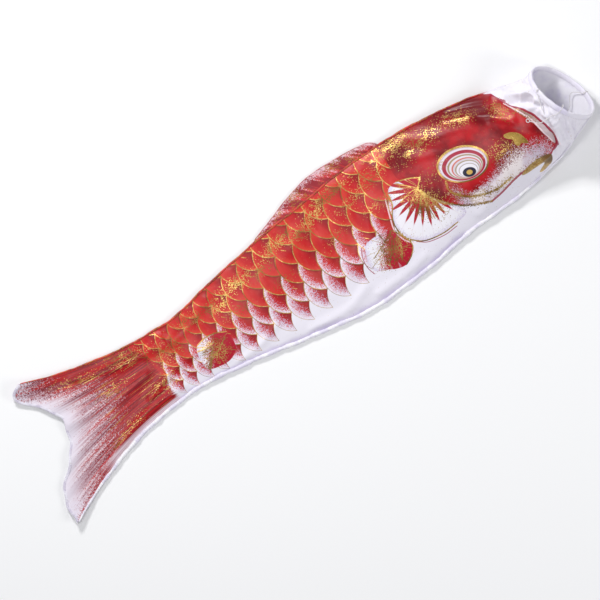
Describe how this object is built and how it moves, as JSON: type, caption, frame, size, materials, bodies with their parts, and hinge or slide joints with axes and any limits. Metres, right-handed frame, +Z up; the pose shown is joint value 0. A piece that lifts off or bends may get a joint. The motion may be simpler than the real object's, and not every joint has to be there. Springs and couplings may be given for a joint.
{
  "type": "carp streamer",
  "caption": "Carp-shaped satin windsock lying on its side: wire-hooped open mouth, cord bridle, dorsal fin, sewn tube body and forked tail",
  "frame": {"origin": "centre of the bottom of the bounding box of the streamer as it lies on its far side", "axes": "+X from tail to mouth, +Y from belly to back, +Z up, away from the surface it lies on"},
  "size_m": [0.998, 0.2283, 0.1072],
  "materials": {
    "printed_satin": "satin",
    "white_satin": "satin",
    "edge_seams": "satin",
    "sewing_thread": "matte",
    "bridle_cord": "matte",
    "hoop_steel": "satin",
    "sleeve_metal": "satin"
  },
  "bodies": {
    "trunk": {"near_side_panel": "printed_satin", "far_side_panel": "printed_satin", "near_root_strip": "printed_satin", "far_root_strip": "printed_satin", "back_seam": "edge_seams", "belly_seam": "white_satin", "near_throat_panel": "white_satin", "far_throat_panel": "white_satin"},
    "mouth": {"mouth_hem": "white_satin", "hem_stitches": "sewing_thread", "hoop_wire": "hoop_steel", "hoop_sleeve": "sleeve_metal", "near_hoop_tie": "bridle_cord", "far_hoop_tie": "bridle_cord"},
    "bridle": {"bridle_line": "bridle_cord", "bridle_leg": "bridle_cord", "bridle_knot": "bridle_cord", "bridle_end_loop": "bridle_cord"},
    "tail": {"far_tail_panel": "printed_satin", "near_tail_panel": "printed_satin", "tail_back_seam": "edge_seams", "tail_belly_seam": "white_satin", "far_fork_hem": "edge_seams", "near_fork_hem": "edge_seams"},
    "dorsal_fin": {"far_fin_layer": "printed_satin", "near_fin_layer": "printed_satin", "fin_edge": "edge_seams"}
  },
  "joints": [
    {"name": "hoop_tilt", "type": "hinge", "parent": "trunk", "child": "mouth", "pos_m": [0.45919, -0.00302, 0.05015], "axis": [0.3453, -0.9385, 0], "range_deg": [-18, 4], "deforming": ["near_throat_panel", "far_throat_panel"]},
    {"name": "bridle_swing", "type": "hinge", "parent": "mouth", "child": "bridle", "pos_m": [0.43301, 0.02203, 0.09621], "axis": [-0.5487, 0.394, 0.7374], "range_deg": [0, 150], "deforming": ["bridle_line", "bridle_leg"]},
    {"name": "tail_flap", "type": "hinge", "parent": "trunk", "child": "tail", "pos_m": [-0.2255, 0, 0.003], "axis": [0, 1, 0], "range_deg": [-60, 75], "deforming": ["near_root_strip", "far_root_strip"]},
    {"name": "dorsal_fin_flap", "type": "hinge", "parent": "trunk", "child": "dorsal_fin", "pos_m": [0.078, 0.0925, 0.00285], "axis": [0.9983, 0.0578, 0], "range_deg": [0, 110]}
  ]
}
